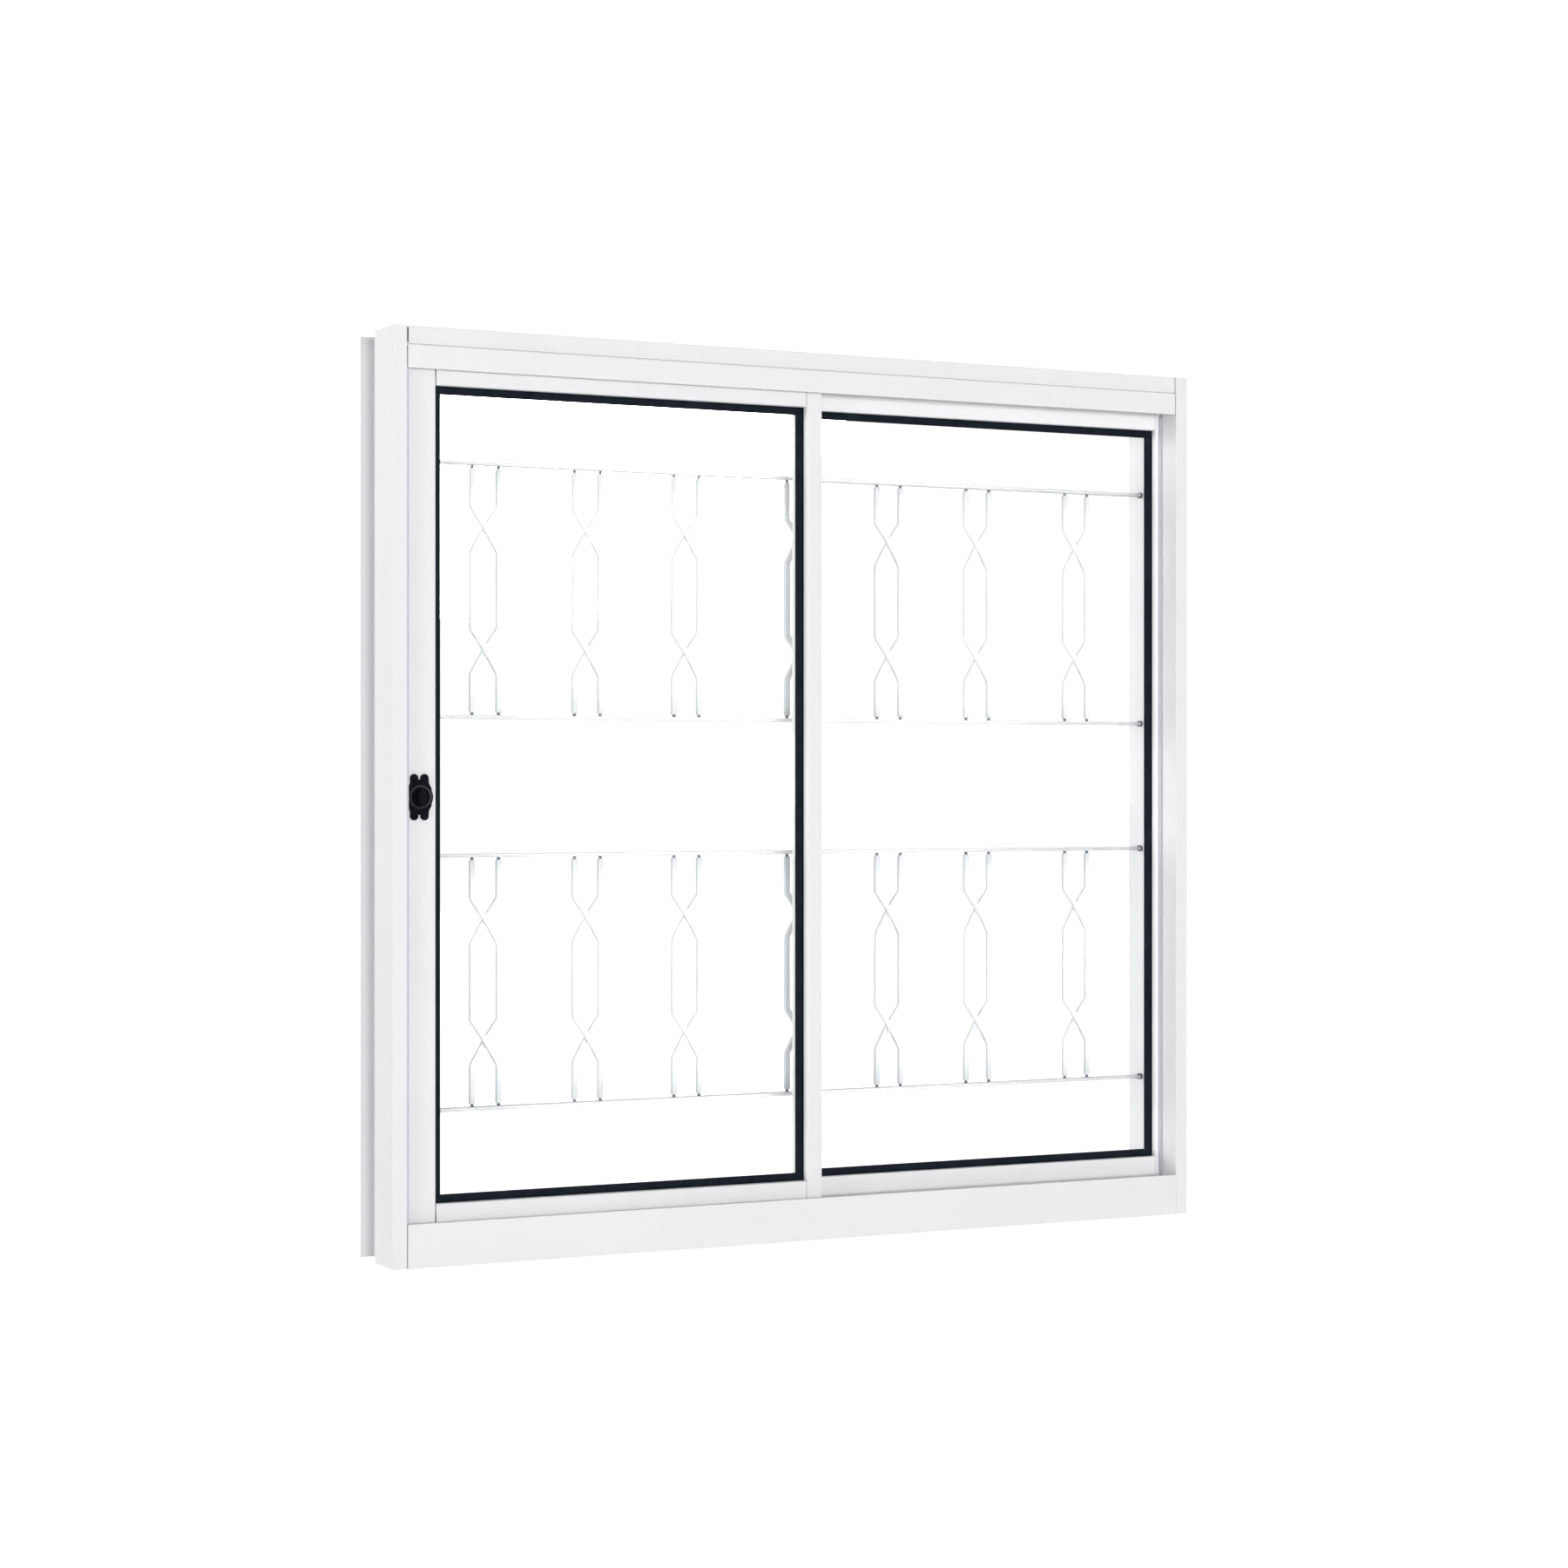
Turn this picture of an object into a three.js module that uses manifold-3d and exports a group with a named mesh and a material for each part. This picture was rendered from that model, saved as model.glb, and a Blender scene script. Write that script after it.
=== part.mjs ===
// Two-leaf sliding window in white powder-coated aluminium, with a fixed security grille held in a
// second frame behind the glass. Millimetres, +Z up. X runs along the width, -Y is the room side and
// +Y the street side. The origin is the middle of the sill's underside.
import * as THREE from "three";
import { mergeVertices } from "three/addons/utils/BufferGeometryUtils.js";
import Module from "manifold-3d";

const wasm = await Module();
wasm.setup();

// ---------------------------------------------------------------- driving dimensions
const WIDTH = 1000; // over the jambs
const HEIGHT = 1000; // over the head and sill
const DEPTH = 108; // room face to street face
const FRONT_DEPTH = 58; // the frame that carries the sashes; the grille frame takes the rest
const WALL = 1.6; // extrusion wall
const FIT = 0.3; // gap left between pieces that touch
const JOINT = 0.6; // visible butt joint where a head, sill or rail meets a jamb or stile

// Front frame. Depths are measured back from the room face, which is the head's lower band.
const JAMB_W = 16; // jamb thickness, outer side to inner wall
const JAMB_FACE = 1.4; // jamb face, set back from the head's lower band
const JAMB_BOX = 33; // depth of the jamb's closed box; behind it a channel takes the rear sash
const HEAD_H = 45;
const HEAD_BAND = 20.3; // height of the head's set-back upper band
const HEAD_STEP = 3.4; // how far that band is set back
const HEAD_GROOVE = [2.4, 1.4]; // depth and height of the shadow groove between the two bands
const HEAD_TRIM = 1.6; // cut off the upper band at the left jamb and off the lower one at the right
const SILL_H = 47.5;
const SILL_FACE = 0.4;
const REAR_LEG_H = 32; // height of the sill's rear wall
const TRACK_TOP = 30; // height of the two roller tracks
const TRACK_W = 1.8;
const FIN_TOP = 42; // height of the sill's fin between the sashes
const FIN_DEPTH = 32.6; // front face of that fin, and of the head's

// Sashes
const SASH_T = 20.5;
const FRONT_SASH = 11; // depth of the front sash's face
const REAR_SASH = 35; // depth of the rear sash's face
const SASH_LOW = 24;
const SASH_HIGH = 984;
const OPEN_LOW = 66; // daylight opening of both sashes, to the gasket's outer edge
const OPEN_HIGH = 939.5;
const FRONT_OPEN = [51.6, 494.7]; // across the width, from the left outer side
const FRONT_EDGES = [19, 514];
const REAR_OPEN = [516.3, 977];
const REAR_EDGES = [497, 996];

// Glazing
const GROOVE = 8; // depth of the glazing groove
const GROOVE_AT = 8; // groove's front side, behind the sash face
const GROOVE_W = 8.4;
const GLASS_T = 4;
const GASKET_T = 7.8;
const GASKET_LIP = 1.6;
const GASKET_SHOWS = 8.4; // black rubber seen around the pane

// Grille, in the rear frame
const GRILLE_DEPTH = 80; // centre plane
const BAR = 6; // square bar
const BAR_APART = 31; // centre to centre of a pair
const CROSS_JOG = 2.9; // how far a bar moves off the plane to pass its partner
const CROSS_HALF = 6; // half height of the crossing itself
const BEND_HALF = 25; // from a crossing's centre to the bends above and below it
const RAIL_T = 4;
const RAIL_D = 14;
const RAIL_Z = [158.7, 435.9, 587.2, 864.8];
const PAIR_AT = [134, 255, 376, 518, 636, 755, 891];
const GRILLE_EDGE_H = 25; // head and sill of the grille frame

// Rollers
const WHEEL_R = 9; // flange radius
const WHEEL_RUN_R = 7; // groove radius, where the wheel runs on the track
const WHEEL_W = 7;
const AXLE_R = 2;
const WHEEL_IN = 50; // wheel centre, in from each end of the bottom rail

// Latch
const LATCH_X = 32.5;
const LATCH_Z = 500;
const LATCH_R = 15.3;
const LATCH_PLATE = 2.6;
const LOBE_R = 5.4;
const LOBE_Z = 19.4;
const CRANK_R = 5; // crank pin off the spindle's centre
const PIN_R = 1.5;
const CRANK_D = 15; // depth of the crank's front face, inside the stile's chamber
const CRANK_T = 2.4;
const BOLT_D = 21; // depth of the bolt's front face
const BOLT_T = 3;
const BOLT_H = 9;
const GRIP_HALF = [3.8, 10];
const SPINDLE_R = 3.2;
const SCREW_R = 1.6;

// ---------------------------------------------------------------- materials
const finish = (color, roughness, metalness) => new THREE.MeshStandardMaterial({ color, roughness, metalness });
const WHITE = finish(0xeff0f1, 0.45, 0);
const RUBBER = finish(0x1e232d, 0.75, 0);
const BLACK = finish(0x121419, 0.4, 0);
const STEEL = finish(0xb9bcc0, 0.35, 1);
const NYLON = finish(0xd9d7cf, 0.5, 0);
const GLASS = finish(0xe8f1ef, 0.05, 0);
GLASS.transparent = true;
GLASS.opacity = 0.2;

// ---------------------------------------------------------------- groups and small helpers
const group = new THREE.Group();
group.name = "sliding_window_with_grille";
const frame = new THREE.Group();
const frontSash = new THREE.Group();
const rearSash = new THREE.Group();
group.add(frame, frontSash, rearSash);

const xOf = (across) => across - WIDTH / 2;
const yOf = (depth) => depth - DEPTH / 2;

function put(parent, name, geometry, material) {
  const mesh = new THREE.Mesh(geometry, material);
  mesh.name = name;
  parent.add(mesh);
  return mesh;
}

// A solid for manifold-3d from a closed geometry, and the geometry back from a solid.
function solid(geometry) {
  const bare = geometry.index ? geometry.toNonIndexed() : geometry.clone();
  bare.deleteAttribute("normal");
  bare.deleteAttribute("uv");
  const merged = mergeVertices(bare, 1e-4);
  const vertProperties = new Float32Array(merged.attributes.position.array);
  const triVerts = new Uint32Array(merged.index.array);
  return new wasm.Manifold(new wasm.Mesh({ numProp: 3, vertProperties, triVerts }));
}

function shell(made) {
  const mesh = made.getMesh();
  const geometry = new THREE.BufferGeometry();
  geometry.setAttribute("position", new THREE.BufferAttribute(mesh.vertProperties, 3));
  geometry.setIndex(new THREE.BufferAttribute(mesh.triVerts, 1));
  geometry.computeVertexNormals();
  return geometry;
}

// A box from its two corners: across the width, depth, height.
function box([s0, d0, z0], [s1, d1, z1]) {
  const geometry = new THREE.BoxGeometry(s1 - s0, d1 - d0, z1 - z0);
  return geometry.translate(xOf((s0 + s1) / 2), yOf((d0 + d1) / 2), (z0 + z1) / 2);
}

// A cylinder along Y, from depth d0 to d1, centred at (across, z).
function barrel(across, z, radius, d0, d1, sides = 24) {
  const geometry = new THREE.CylinderGeometry(radius, radius, d1 - d0, sides);
  return geometry.translate(xOf(across), yOf((d0 + d1) / 2), z);
}

// Corners of a closed outline; a corner given as [u, v, r] is rounded to radius r.
function outline(corners, steps = 3) {
  const points = [];
  corners.forEach(([u, v, r], i) => {
    if (!r) {
      points.push(new THREE.Vector2(u, v));
      return;
    }
    const corner = new THREE.Vector2(u, v);
    const before = new THREE.Vector2(...corners.at(i - 1));
    const after = new THREE.Vector2(...corners[(i + 1) % corners.length]);
    const start = before.sub(corner).setLength(r).add(corner);
    const end = after.sub(corner).setLength(r).add(corner);
    const round = new THREE.QuadraticBezierCurve(start, corner, end);
    points.push(...round.getPoints(steps));
  });
  return new THREE.Shape(points);
}

const rectangle = (u0, v0, u1, v1) => new THREE.Path(
  [[u0, v0], [u1, v0], [u1, v1], [u0, v1]].map(([u, v]) => new THREE.Vector2(u, v)),
);

function extrude(section, from, to) {
  return new THREE.ExtrudeGeometry(section, { depth: to - from, bevelEnabled: false }).translate(0, 0, from);
}

// An upright profile. The section is drawn as (across, depth).
function upright(section, z0, z1) {
  return extrude(section, z0, z1).translate(-WIDTH / 2, -DEPTH / 2, 0);
}

// A level profile along X. The section is drawn as (depth, height).
function level(section, s0, s1) {
  const turn = new THREE.Matrix4().makeBasis(
    new THREE.Vector3(0, 1, 0),
    new THREE.Vector3(0, 0, 1),
    new THREE.Vector3(1, 0, 0),
  );
  return extrude(section, s0, s1).applyMatrix4(turn).translate(-WIDTH / 2, -DEPTH / 2, 0);
}

// The way that the latch's bolt slides through a wall, from s0 to s1 across.
function boltWay(s0, s1) {
  const clear = 0.5;
  const half = BOLT_H / 2 + clear;
  return box([s0, BOLT_D - clear, LATCH_Z - half], [s1, BOLT_D + BOLT_T + clear, LATCH_Z + half]);
}

// Mirrors a section left to right across the width, keeping its corner order.
const mirrored = (corners) => corners.map(([u, ...rest]) => [WIDTH - u, ...rest]).reverse();

// ---------------------------------------------------------------- front frame
function jambSection(side) {
  const rear = FRONT_DEPTH;
  const corners = [
    [0, JAMB_FACE, 0.8],
    [JAMB_W, JAMB_FACE, 0.8],
    [JAMB_W, JAMB_BOX],
    [WALL, JAMB_BOX],
    [WALL, rear - WALL],
    [JAMB_W, rear - WALL],
    [JAMB_W, rear],
    [0, rear],
  ];
  const chamber = [WALL, JAMB_FACE + WALL, JAMB_W - WALL, JAMB_BOX - WALL];
  const right = side === "right";
  const section = outline(right ? mirrored(corners) : corners);
  const [u0, v0, u1, v1] = chamber;
  section.holes.push(right ? rectangle(WIDTH - u1, v0, WIDTH - u0, v1) : rectangle(u0, v0, u1, v1));
  return section;
}

function headSection() {
  const top = HEIGHT;
  const low = HEIGHT - HEAD_H;
  const step = HEIGHT - HEAD_BAND;
  const [grooveDeep, grooveHigh] = HEAD_GROOVE;
  const finEnd = FIN_DEPTH + WALL;
  const rear = FRONT_DEPTH;
  return outline([
    [0, step, 0.8],
    [0, low, 0.9],
    [WALL, low, 0.5],
    [WALL, step - WALL],
    [HEAD_STEP + grooveDeep + WALL, step - WALL],
    [HEAD_STEP + grooveDeep + WALL, step + grooveHigh + WALL],
    [HEAD_STEP + WALL, step + grooveHigh + WALL],
    [HEAD_STEP + WALL, top - WALL],
    [FIN_DEPTH, top - WALL],
    [FIN_DEPTH, low + 3],
    [finEnd, low + 3],
    [finEnd, top - WALL],
    [rear - WALL, top - WALL],
    [rear - WALL, low],
    [rear, low],
    [rear, top],
    [HEAD_STEP, top, 0.8],
    [HEAD_STEP, step + grooveHigh],
    [HEAD_STEP + grooveDeep, step + grooveHigh],
    [HEAD_STEP + grooveDeep, step],
  ]);
}

function sillSection() {
  const rear = FRONT_DEPTH;
  const floor = 2;
  const corners = [[SILL_FACE, 0, 0.8], [rear, 0], [rear, REAR_LEG_H], [rear - WALL, REAR_LEG_H], [rear - WALL, floor]];
  const uprightWall = (depth, width, top) => corners.push(
    [depth + width, floor],
    [depth + width, top, 0.5],
    [depth, top, 0.5],
    [depth, floor],
  );
  uprightWall(trackDepth(REAR_SASH), TRACK_W, TRACK_TOP);
  uprightWall(FIN_DEPTH, WALL, FIN_TOP);
  uprightWall(trackDepth(FRONT_SASH), TRACK_W, TRACK_TOP);
  corners.push([SILL_FACE + 2.2, floor], [SILL_FACE + 2.2, SILL_H, 0.8], [SILL_FACE, SILL_H, 1]);
  return outline(corners);
}

// Each track stands under the middle of its sash.
function trackDepth(sash) {
  return sash + SASH_T / 2 - TRACK_W / 2;
}

function buildFrontFrame() {
  const slot = solid(boltWay(JAMB_W - WALL - 1, JAMB_W + 1));
  const left = solid(upright(jambSection("left"), 0, HEIGHT)).subtract(slot);
  put(frame, "jamb_left", shell(left), WHITE);
  put(frame, "jamb_right", upright(jambSection("right"), 0, HEIGHT), WHITE);
  const ends = [JAMB_W + JOINT, WIDTH - JAMB_W - JOINT];
  const step = HEIGHT - HEAD_BAND;
  const trims = [
    box([ends[0] - 1, -1, step], [ends[0] + HEAD_TRIM, HEAD_STEP + WALL, HEIGHT - WALL]),
    box([ends[1] - HEAD_TRIM, -1, HEIGHT - HEAD_H - 1], [ends[1] + 1, WALL, step - WALL]),
  ];
  const head = trims.reduce((rest, trim) => rest.subtract(solid(trim)), solid(level(headSection(), ...ends)));
  put(frame, "head_profile", shell(head), WHITE);
  put(frame, "sill_profile", level(sillSection(), ...ends), WHITE);
}

// Steel strike riveted inside the jamb's chamber, behind the slot that the bolt enters.
function buildKeeper() {
  const around = 9;
  const plate = box(
    [JAMB_W - WALL - FIT - 1.5, BOLT_D - around, LATCH_Z - BOLT_H / 2 - around],
    [JAMB_W - WALL - FIT, BOLT_D + 8, LATCH_Z + BOLT_H / 2 + around],
  );
  const hole = boltWay(JAMB_W / 2, JAMB_W);
  put(frame, "latch_keeper", shell(solid(plate).subtract(solid(hole))), STEEL);
}

// ---------------------------------------------------------------- grille frame and grille
function buildGrilleFrame() {
  const near = FRONT_DEPTH + FIT;
  const far = DEPTH;
  // A channel that opens outwards, with its web towards the opening.
  const channel = (web) => [
    [0, near],
    [web, near, 0.6],
    [web, far, 0.6],
    [0, far],
    [0, far - WALL],
    [web - WALL, far - WALL],
    [web - WALL, near + WALL],
    [0, near + WALL],
  ];
  put(frame, "grille_frame_jamb_left", upright(outline(channel(JAMB_W)), 0, HEIGHT), WHITE);
  put(frame, "grille_frame_jamb_right", upright(outline(mirrored(channel(JAMB_W))), 0, HEIGHT), WHITE);
  const ends = [JAMB_W + JOINT, WIDTH - JAMB_W - JOINT];
  const sill = channel(GRILLE_EDGE_H).map(([height, depth, ...r]) => [depth, height, ...r]).reverse();
  const head = channel(GRILLE_EDGE_H).map(([height, depth, ...r]) => [depth, HEIGHT - height, ...r]);
  put(frame, "grille_frame_head", level(outline(head), ...ends), WHITE);
  put(frame, "grille_frame_sill", level(outline(sill), ...ends), WHITE);
}

function buildGrilleRails() {
  const half = RAIL_T / 2;
  RAIL_Z.forEach((z, i) => {
    const rail = box(
      [JAMB_W + FIT, GRILLE_DEPTH - RAIL_D / 2, z - half],
      [WIDTH - JAMB_W - FIT, GRILLE_DEPTH + RAIL_D / 2, z + half],
    );
    put(frame, `grille_rail_${i + 1}`, rail, WHITE);
  });
}

// One square bar that follows a bent path. Its path is a list of [across, depth, height], rising,
// and each bend is mitred in the plane of the window so that the bar keeps its width.
function bentBar(path) {
  const half = BAR / 2;
  const rings = path.map(([s, d, z], i) => {
    const slope = (a, b) => Math.atan2(b[0] - a[0], b[2] - a[2]);
    const below = i > 0 ? slope(path[i - 1], path[i]) : 0;
    const above = i < path.length - 1 ? slope(path[i], path[i + 1]) : 0;
    const mean = (below + above) / 2;
    const reach = half / Math.cos((above - below) / 2);
    const ds = reach * Math.cos(mean);
    const dz = -reach * Math.sin(mean);
    return [
      [s - ds, d - half, z - dz],
      [s + ds, d - half, z + dz],
      [s + ds, d + half, z + dz],
      [s - ds, d + half, z - dz],
    ].map(([a, b, c]) => [xOf(a), yOf(b), c]);
  });
  const triangles = [];
  const quad = (a, b, c, e) => triangles.push(a, b, c, a, c, e);
  const first = rings[0];
  const last = rings.at(-1);
  quad(first[3], first[2], first[1], first[0]);
  quad(...last);
  for (let i = 1; i < rings.length; i += 1) {
    for (let k = 0; k < 4; k += 1) {
      const next = (k + 1) % 4;
      quad(rings[i - 1][k], rings[i - 1][next], rings[i][next], rings[i][k]);
    }
  }
  const geometry = new THREE.BufferGeometry();
  geometry.setAttribute("position", new THREE.Float32BufferAttribute(triangles.flat(), 3));
  return geometry;
}

// The two bars of a pair run side by side, cross at a quarter and at three quarters of their
// height, and are welded where they cross. The bar that leans to the left as it rises passes on
// the room side, and the other one behind it.
function barPath(centre, side, z0, z1) {
  const height = z1 - z0;
  const off = (BAR_APART / 2) * side;
  const path = [[centre + off, GRILLE_DEPTH, z0]];
  [0.25, 0.75].forEach((share, i) => {
    const z = z0 + height * share;
    const way = i === 0 ? 1 : -1;
    const near = off * way * (CROSS_HALF / BEND_HALF);
    const jog = -CROSS_JOG * side * way;
    path.push(
      [centre + off * way, GRILLE_DEPTH, z - BEND_HALF],
      [centre + near, GRILLE_DEPTH + jog, z - CROSS_HALF],
      [centre - near, GRILLE_DEPTH + jog, z + CROSS_HALF],
      [centre - off * way, GRILLE_DEPTH, z + BEND_HALF],
    );
  });
  path.push([centre + off, GRILLE_DEPTH, z1]);
  return path;
}

function buildGrilleBars() {
  const panels = { lower: [RAIL_Z[0], RAIL_Z[1]], upper: [RAIL_Z[2], RAIL_Z[3]] };
  const clear = RAIL_T / 2 + FIT;
  Object.entries(panels).forEach(([panel, [low, high]]) => {
    PAIR_AT.forEach((centre, i) => {
      const bars = [-1, 1].map((side) => solid(bentBar(barPath(centre, side, low + clear, high - clear))));
      put(frame, `grille_pair_${panel}_${i + 1}`, shell(bars[0].add(bars[1])), WHITE);
    });
  });
}

// ---------------------------------------------------------------- sashes
// Stile section, drawn for a left stile: outer side at s0, daylight side with its groove at s1.
function stileCorners(s0, s1, face) {
  const back = face + SASH_T;
  const grooveFront = face + GROOVE_AT;
  const grooveBack = grooveFront + GROOVE_W;
  return [
    [s0, face, 1.5],
    [s1, face, 2.4],
    [s1, grooveFront],
    [s1 - GROOVE, grooveFront],
    [s1 - GROOVE, grooveBack],
    [s1, grooveBack],
    [s1, back, 1],
    [s0, back, 1],
  ];
}

// An upright stile with its hollow chamber, notched at the foot where it straddles the track.
function stile(outer, inner, face, hook) {
  const left = inner > outer;
  const flip = (s) => (left ? s : WIDTH - s);
  const [s0, s1] = [flip(outer), flip(inner)];
  const corners = stileCorners(s0, s1, face);
  const section = outline(left ? corners : mirrored(corners));
  const u0 = s0 + WALL;
  const u1 = s1 - GROOVE - WALL;
  const chamber = left ? [u0, u1] : [WIDTH - u1, WIDTH - u0];
  section.holes.push(rectangle(chamber[0], face + WALL, chamber[1], face + SASH_T - WALL));
  const middle = face + SASH_T / 2;
  const ends = [Math.min(outer, inner), Math.max(outer, inner)];
  const notch = box([ends[0] - 1, middle - 4, SASH_LOW - 1], [ends[1] + 1, middle + 4, TRACK_TOP + 4]);
  let made = solid(upright(section, SASH_LOW, SASH_HIGH)).subtract(solid(notch));
  if (hook) made = made.add(solid(hook));
  return made;
}

// A rail between two stiles, drawn for the bottom rail; the top rail is the same one upside down.
function railSection(face, upsideDown) {
  const back = face + SASH_T;
  const grooveFront = face + GROOVE_AT;
  const grooveBack = grooveFront + GROOVE_W;
  const roof = OPEN_LOW - GROOVE - WALL;
  const corners = [
    [face, SASH_LOW],
    [face + WALL, SASH_LOW],
    [face + WALL, roof],
    [back - WALL, roof],
    [back - WALL, SASH_LOW],
    [back, SASH_LOW],
    [back, OPEN_LOW, 1],
    [grooveBack, OPEN_LOW],
    [grooveBack, OPEN_LOW - GROOVE],
    [grooveFront, OPEN_LOW - GROOVE],
    [grooveFront, OPEN_LOW],
    [face, OPEN_LOW, 2.4],
  ];
  if (!upsideDown) return outline(corners);
  const highest = OPEN_HIGH + OPEN_LOW;
  const top = (z) => (z === SASH_LOW ? SASH_HIGH : highest - z);
  return outline(corners.map(([depth, z, ...r]) => [depth, top(z), ...r]).reverse());
}

// A ring of constant section round an upright rectangle, mitred at its corners. The section is
// [inwards, depth] from the ring's outer front edge.
function ring(s0, z0, s1, z1, section) {
  const corners = [[s0, z0, 1, 1], [s1, z0, -1, 1], [s1, z1, -1, -1], [s0, z1, 1, -1]];
  const positions = corners.flatMap(([s, z, ds, dz]) => (
    section.flatMap(([inwards, depth]) => [xOf(s + ds * inwards), yOf(depth), z + dz * inwards])
  ));
  const n = section.length;
  const faces = [];
  for (let c = 0; c < 4; c += 1) {
    for (let k = 0; k < n; k += 1) {
      const next = (k + 1) % n;
      const a = c * n + k;
      const b = c * n + next;
      const e = ((c + 1) % 4) * n + k;
      const f = ((c + 1) % 4) * n + next;
      faces.push(a, f, b, a, e, f);
    }
  }
  const geometry = new THREE.BufferGeometry();
  geometry.setAttribute("position", new THREE.Float32BufferAttribute(positions, 3));
  geometry.setIndex(faces);
  geometry.computeVertexNormals();
  return geometry;
}

function gasket([s0, s1], face) {
  const front = face + GROOVE_AT + (GROOVE_W - GASKET_T) / 2;
  const back = front + GASKET_T;
  const hidden = GROOVE - FIT;
  const reach = hidden + GASKET_SHOWS;
  const section = [
    [0, front],
    [reach, front],
    [reach, front + GASKET_LIP],
    [GASKET_LIP, front + GASKET_LIP],
    [GASKET_LIP, back - GASKET_LIP],
    [reach, back - GASKET_LIP],
    [reach, back],
    [0, back],
  ];
  return ring(s0 - hidden, OPEN_LOW - hidden, s1 + hidden, OPEN_HIGH + hidden, section);
}

function glass([s0, s1], face) {
  const front = face + GROOVE_AT + (GROOVE_W - GLASS_T) / 2;
  const hidden = GROOVE - 2 * FIT - GASKET_LIP;
  return box(
    [s0 - hidden, front, OPEN_LOW - hidden],
    [s1 + hidden, front + GLASS_T, OPEN_HIGH + hidden],
  );
}

// Small hooks on the two meeting stiles engage when the window is shut. Each overlaps its stile a
// little so that it is part of it.
const FRONT_HOOK = box([507, FRONT_SASH + SASH_T - 1, 60], [508.4, FRONT_SASH + SASH_T + 2.4, 940]);
const REAR_HOOK = box([503.4, REAR_SASH - 2.4, 60], [504.8, REAR_SASH + 1, 940]);

function buildSash(parent, prefix, open, face, stiles) {
  const [left, right] = stiles;
  put(parent, left.name, shell(left.made), WHITE);
  put(parent, right.name, shell(right.made), WHITE);
  const ends = [open[0] + JOINT, open[1] - JOINT];
  put(parent, `${prefix}_bottom_rail`, level(railSection(face, false), ...ends), WHITE);
  put(parent, `${prefix}_top_rail`, level(railSection(face, true), ...ends), WHITE);
  put(parent, `${prefix}_gasket`, gasket(open, face), RUBBER);
  put(parent, `${prefix}_glass`, glass(open, face), GLASS);
  [open[0] + WHEEL_IN, open[1] - WHEEL_IN].forEach((at, i) => {
    buildRoller(parent, `${prefix}_roller_${i === 0 ? "left" : "right"}`, at, face + SASH_T / 2);
  });
}

// A nylon wheel with a grooved tread that runs on the track, on a steel axle in a folded cage.
function buildRoller(parent, name, at, middle) {
  const z = TRACK_TOP + FIT + WHEEL_RUN_R;
  const half = WHEEL_W / 2;
  const bore = AXLE_R + 0.1;
  const tread = [
    [bore, -half],
    [WHEEL_R, -half],
    [WHEEL_R, -half + 1.2],
    [WHEEL_RUN_R, -1.4],
    [WHEEL_RUN_R, 1.4],
    [WHEEL_R, half - 1.2],
    [WHEEL_R, half],
    [bore, half],
    [bore, -half],
  ].map(([r, y]) => new THREE.Vector2(r, y));
  const wheel = new THREE.LatheGeometry(tread, 28);
  put(parent, `${name}_wheel`, wheel.translate(xOf(at), yOf(middle), z), NYLON);

  const inside = half + 0.5;
  const outside = half + 1.9;
  const top = OPEN_LOW - GROOVE - WALL - FIT;
  const long = 14; // half the cage's length
  const cage = solid(box([at - long, middle - outside, z - 5], [at + long, middle + outside, top]));
  const space = solid(box([at - long - 1, middle - inside, z - 6], [at + long + 1, middle + inside, top - 1.4]));
  const holes = solid(barrel(at, z, AXLE_R + 0.05, middle - outside - 1, middle + outside + 1));
  put(parent, `${name}_cage`, shell(cage.subtract(space).subtract(holes)), STEEL);
  put(parent, `${name}_axle`, barrel(at, z, AXLE_R, middle - outside - 0.3, middle + outside + 0.3), STEEL);
}

function buildFrontSash() {
  const face = FRONT_SASH;
  let latchStile = stile(FRONT_EDGES[0], FRONT_OPEN[0], face, null);
  const holes = [[LATCH_X, LATCH_Z, SPINDLE_R], ...screwPlaces().map((place) => [...place, SCREW_R])];
  holes.forEach(([s, z, r]) => {
    latchStile = latchStile.subtract(solid(barrel(s, z, r + FIT, face - 1, face + WALL + 1)));
  });
  latchStile = latchStile.subtract(solid(boltWay(FRONT_EDGES[0] - 1, FRONT_EDGES[0] + WALL + 1)));
  buildSash(frontSash, "front_sash", FRONT_OPEN, face, [
    { name: "front_sash_latch_stile", made: latchStile },
    { name: "front_sash_meeting_stile", made: stile(FRONT_EDGES[1], FRONT_OPEN[1], face, FRONT_HOOK) },
  ]);
}

function buildRearSash() {
  const face = REAR_SASH;
  buildSash(rearSash, "rear_sash", REAR_OPEN, face, [
    { name: "rear_sash_meeting_stile", made: stile(REAR_EDGES[0], REAR_OPEN[0], face, REAR_HOOK) },
    { name: "rear_sash_outer_stile", made: stile(REAR_EDGES[1], REAR_OPEN[1], face, null) },
  ]);
}

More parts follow.
